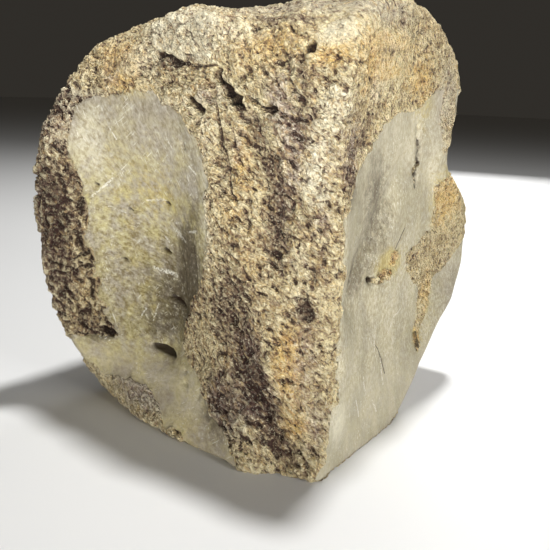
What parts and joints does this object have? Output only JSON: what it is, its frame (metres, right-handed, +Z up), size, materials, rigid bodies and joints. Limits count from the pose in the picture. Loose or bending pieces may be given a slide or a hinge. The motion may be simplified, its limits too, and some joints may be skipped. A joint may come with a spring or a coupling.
{
  "type": "fossil dinosaur vertebra",
  "caption": "Worn fossil backbone body standing on its flat underside, with a waisted smooth side, spongy rims and a dished end face.",
  "frame": {"origin": "middle of the bounding box in X and Y, on the surface the bone stands on", "axes": "+X along the backbone towards the smooth end face, -Y the waisted side with the larger smooth patch, +Z up towards the broken arch"},
  "size_m": [0.1124, 0.1176, 0.1321],
  "materials": {
    "fossil_bone": "mineralised bone: rough and pitted tan, cream, ochre and dark brown where the spongy inside shows, fine-grained grey-beige with a slight sheen where the smooth skin is left"
  },
  "bodies": {
    "root": {"centrum": "fossil_bone"}
  },
  "joints": []
}
